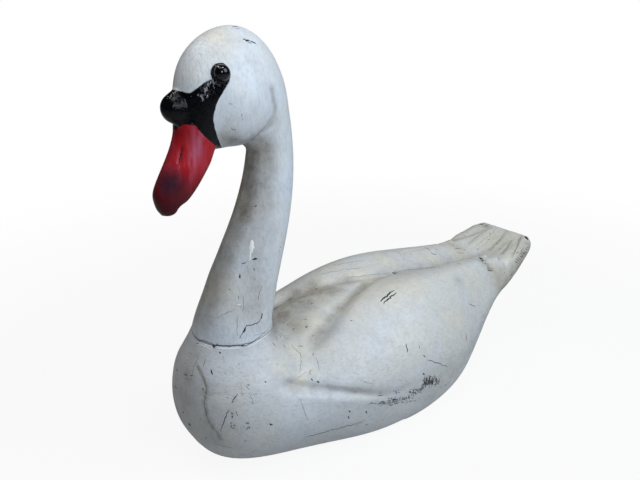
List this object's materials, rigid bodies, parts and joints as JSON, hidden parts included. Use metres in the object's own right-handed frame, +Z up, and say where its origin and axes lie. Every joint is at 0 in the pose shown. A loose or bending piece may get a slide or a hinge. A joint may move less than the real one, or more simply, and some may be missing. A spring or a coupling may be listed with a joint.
{
  "type": "swan figurine",
  "caption": "Carved and painted wooden swan at rest, with curved neck, knobbed bill, folded wings and a flat base to stand on.",
  "frame": {"origin": "middle of the swan's length and width, on the floor that its flat base stands on", "axes": "+Z up, -Y the way the swan faces, +X its left side"},
  "size_m": [0.2926, 0.6786, 0.55],
  "materials": {
    "body_paint": "carved wood under worn white paint, satin",
    "head_paint": "carved wood under worn white paint, gloss black mask and knob, red bill",
    "dowel_wood": "bare turned wood",
    "left_eye_black": "opaque black, high gloss",
    "right_eye_black": "opaque black, high gloss"
  },
  "bodies": {
    "root": {"body": "body_paint", "neck_and_head": "head_paint", "neck_dowel": "dowel_wood", "left_eye": "left_eye_black", "right_eye": "right_eye_black"}
  },
  "joints": []
}
